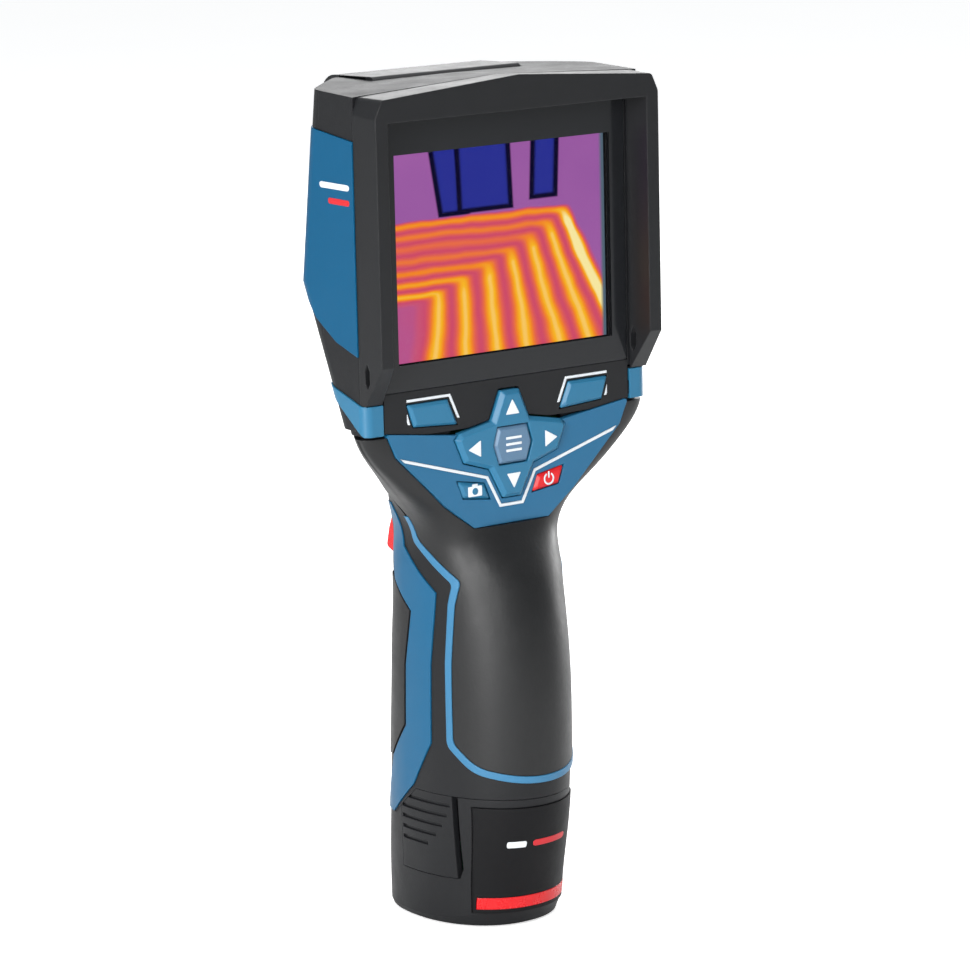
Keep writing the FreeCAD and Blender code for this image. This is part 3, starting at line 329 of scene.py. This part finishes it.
def rounded(points, radius, steps=4):
    """Outline with every corner turned on a small curve."""
    out = []
    for i, (x, z) in enumerate(points):
        corner = Vector((x, z))
        before = (Vector(points[i - 1]) - corner).normalized() * radius
        after = (Vector(points[(i + 1) % len(points)]) - corner).normalized() * radius
        for k in range(steps + 1):
            t = k / steps
            at = corner + before * (1 - t) ** 2 + after * t ** 2
            out.append((at.x, at.y))
    return out


def ring_part(x, z, outer, inner, start, stop):
    return arc(x, z, outer, start, stop) + arc(x, z, inner, stop, start)


def rectangle(x0, x1, z0, z1, radius=0.15):
    return rounded([(x0, z0), (x1, z0), (x1, z1), (x0, z1)], radius)


def arrow(x, z, direction, size=2.3):
    turn = math.radians(direction)
    corners = [(1.0, 0.0), (-0.8, 1.0), (-0.8, -1.0)]
    turned = [(x + size * (a * math.cos(turn) - b * math.sin(turn)),
               z + size * (a * math.sin(turn) + b * math.cos(turn))) for a, b in corners]
    return rounded(turned, 0.35)


NAV_Z = 133.5
ARROW_REACH = 12.6  # middle of the four-way key to its side arrows
PRINT = 0.06        # thickness of a printed mark above the key
NAV_FRONT, KEY_FRONT, FUNC_FRONT = -17.3, -16.4, -17.6


def key_print(name, outlines, front, body, finish):
    piece(name, prism_mesh(name, outlines, front - PRINT, front + PRINT), body, finish)


key_print("nav_arrows", [arrow(ARROW_REACH, NAV_Z, 0), arrow(-ARROW_REACH, NAV_Z, 180), arrow(0, 143.4, 90),
                         arrow(0, 123.6, 270)], NAV_FRONT, "nav_pad", "print_white")
key_print("func_bars", [rectangle(-2.6, 2.6, NAV_Z + d - 0.35, NAV_Z + d + 0.35) for d in (-1.7, 0, 1.7)],
          FUNC_FRONT, "func_key", "print_white")
SAVE_X, POWER_X, CORNER_Z = -12.4, 12.4, 122.1
key_print("save_icon", [rectangle(SAVE_X - 2.3, SAVE_X + 2.3, CORNER_Z - 1.6, CORNER_Z + 1.2, 0.3),
                        rectangle(SAVE_X - 0.9, SAVE_X + 0.9, CORNER_Z + 1.15, CORNER_Z + 1.8, 0.15)],
          KEY_FRONT, "save_key", "print_white")
key_print("save_icon_lens", [arc(SAVE_X, CORNER_Z - 0.2, 0.95)], KEY_FRONT - PRINT, "save_key",
          "key_blue")
key_print("power_icon", [ring_part(POWER_X, CORNER_Z, 1.75, 1.25, 120, 420),
                         rectangle(POWER_X - 0.25, POWER_X + 0.25, CORNER_Z + 0.2, CORNER_Z + 2.0, 0.1)],
          KEY_FRONT, "power_key", "print_white")


def surface_mark(name, target, origin, across, up, towards, size, body, finish, steps=(16, 6)):
    """Thin rounded bar laid on a curved node: a grid is dropped on to the node along one direction."""
    node = NODES[target]
    tree = BVHTree.FromPolygons([v.co for v in node.data.vertices],
                                [tuple(p.vertices) for p in node.data.polygons])
    across, up, towards = Vector(across), Vector(up), Vector(towards)
    mesh = bpy.data.meshes.new(name)
    built = bmesh.new()
    rows = []
    for j in range(steps[1] + 1):
        row = []
        for i in range(steps[0] + 1):
            a, b = 2 * i / steps[0] - 1, 2 * j / steps[1] - 1
            squeeze = 1 - 0.12 * b ** 4
            start = (Vector(origin) + across * size[0] / 2 * a * squeeze + up * size[1] / 2 * b) * MM
            hit, normal, _, _ = tree.ray_cast(start - towards * 0.05, towards)
            row.append((hit, normal))
        rows.append(row)
    layers = [[[built.verts.new(hit + normal * lift * MM) for hit, normal in row] for row in rows]
              for lift in (0.05, -0.15)]
    for layer in layers:
        for j in range(steps[1]):
            for i in range(steps[0]):
                built.faces.new((layer[j][i], layer[j][i + 1], layer[j + 1][i + 1], layer[j + 1][i]))
    top, low = layers
    rim = [(0, i) for i in range(steps[0])] + [(j, steps[0]) for j in range(steps[1])]
    rim += [(steps[1], i) for i in range(steps[0], 0, -1)] + [(j, 0) for j in range(steps[1], 0, -1)]
    for k, (j, i) in enumerate(rim):
        j2, i2 = rim[(k + 1) % len(rim)]
        built.faces.new((top[j][i], top[j2][i2], low[j2][i2], low[j][i]))
    bmesh.ops.recalc_face_normals(built, faces=built.faces[:])
    built.to_mesh(mesh)
    built.free()
    return piece(name, mesh, body, finish)


X_AXIS, Y_AXIS, Z_AXIS = (1, 0, 0), (0, 1, 0), (0, 0, 1)
surface_mark("side_bar_white", "side_panel_left", (-47, -4.5, 206.5), Y_AXIS, Z_AXIS, X_AXIS, (14, 1.6),
             "camera_body", "print_white")
surface_mark("side_bar_red", "side_panel_left", (-47, -6.5, 202.5), Y_AXIS, Z_AXIS, X_AXIS, (10, 1.6),
             "camera_body", "print_red")
surface_mark("battery_bar_white", "battery_panel", (-7.2, -20, 24.5), X_AXIS, Z_AXIS, Y_AXIS, (5.0, 1.8),
             "battery", "print_white")
surface_mark("battery_bar_red", "battery_panel", (3.2, -20, 24.5), X_AXIS, Z_AXIS, Y_AXIS, (12.0, 1.8),
             "battery", "print_red")


# ---- stage --------------------------------------------------------------
def stage_plane(name, size, centre, look_at, material):
    mesh = bpy.data.meshes.new(name)
    w, h = size[0] / 2, size[1] / 2
    mesh.from_pydata([(-w, -h, 0), (w, -h, 0), (w, h, 0), (-w, h, 0)], [], [(0, 1, 2, 3)])
    made = bpy.data.objects.new(name, mesh)
    bpy.context.scene.collection.objects.link(made)
    made.location = centre
    if look_at is not None:
        made.rotation_euler = (Vector(look_at) - Vector(centre)).to_track_quat("Z", "Y").to_euler()
    mesh.materials.append(material)
    return made


def floor_material():
    g = Graph("pale_floor")
    tone = g.mix(g.noise(6.0, 2.0), (0.90, 0.90, 0.90, 1), (0.94, 0.94, 0.94, 1))
    seen = g.node("ShaderNodeLightPath").outputs["Is Camera Ray"]
    shader = g.node("ShaderNodeBsdfPrincipled", None, Base_Color=tone, Roughness=0.8,
                    Specular_IOR_Level=0.1, Emission_Color=(1, 1, 1, 1),
                    Emission_Strength=g.math("MULTIPLY", seen, 0.65))
    # Seen from below, the floor is clear, so the underside can be looked at.
    below = g.node("ShaderNodeNewGeometry").outputs["Backfacing"]
    gap = g.node("ShaderNodeBsdfTransparent")
    both = g.node("ShaderNodeMixShader", None, _0=below, _1=shader.outputs[0], _2=gap.outputs[0])
    g.put(g.output.inputs[0], both.outputs[0])
    return g.material


def lamp(name, centre, size, power, target=(0, 0, 0.13)):
    data = bpy.data.lights.new(name, "AREA")
    data.shape = "RECTANGLE"
    data.size, data.size_y = size
    data.energy = power
    made = bpy.data.objects.new(name, data)
    made.location = centre
    made.rotation_euler = (Vector(target) - Vector(centre)).to_track_quat("-Z", "Y").to_euler()
    made.visible_camera = False
    bpy.context.scene.collection.objects.link(made)


def world():
    made = bpy.data.worlds.new("studio")
    made.use_nodes = True
    tree = made.node_tree
    tree.nodes.clear()
    output = tree.nodes.new("ShaderNodeOutputWorld")
    path = tree.nodes.new("ShaderNodeLightPath")
    seen, lit = (tree.nodes.new("ShaderNodeBackground") for _ in range(2))
    seen.inputs[0].default_value, seen.inputs[1].default_value = (1, 1, 1, 1), 1.0
    lit.inputs[0].default_value, lit.inputs[1].default_value = (0.95, 0.98, 1, 1), 0.32
    mixed = tree.nodes.new("ShaderNodeMixShader")
    tree.links.new(path.outputs["Is Camera Ray"], mixed.inputs[0])
    tree.links.new(lit.outputs[0], mixed.inputs[1])
    tree.links.new(seen.outputs[0], mixed.inputs[2])
    tree.links.new(mixed.outputs[0], output.inputs[0])
    bpy.context.scene.world = made


world()
stage_plane("floor", (12, 12), (0, 0, -0.0002), None, floor_material())
lamp("key_lamp", (-1.1, -0.5, 0.4), (0.25, 0.9), 10)
lamp("rim_lamp", (1.15, 0.15, 0.25), (0.3, 0.9), 8)
lamp("fill_lamp", (-1.1, -1.1, 0.8), (0.8, 0.8), 13)
lamp("top_lamp", (0.1, 0.1, 1.5), (1.0, 1.0), 12)
lamp("roof_lamp", (0.9, 1.25, 0.62), (1.4, 0.5), 7, (0, 0, 0.23))

# Camera: aimed past a point on the display, from the left and a little above.
AZIMUTH, ELEVATION, ROLL = math.radians(-35.95), math.radians(11.24), math.radians(-1.34)
DISTANCE, AIM = 1.20462, Vector((0, -0.013, 0.1865))
SHIFT_RIGHT, SHIFT_UP = 0.00386, 0.06391
back = Vector((math.sin(AZIMUTH) * math.cos(ELEVATION), -math.cos(AZIMUTH) * math.cos(ELEVATION),
               math.sin(ELEVATION)))
level = Vector((math.cos(AZIMUTH), math.sin(AZIMUTH), 0))
upright = back.cross(level)
right = level * math.cos(ROLL) + upright * math.sin(ROLL)
top = upright * math.cos(ROLL) - level * math.sin(ROLL)
eye = AIM + back * DISTANCE - right * SHIFT_RIGHT - top * SHIFT_UP
camera = bpy.data.objects.new("camera", bpy.data.cameras.new("camera"))
camera.matrix_world = Matrix.Translation(eye) @ Matrix((right, top, back)).transposed().to_4x4()
camera.data.lens = 166.87
camera.data.sensor_width = 36.0
bpy.context.scene.collection.objects.link(camera)
bpy.context.scene.camera = camera
bpy.context.scene.view_settings.view_transform = "Standard"
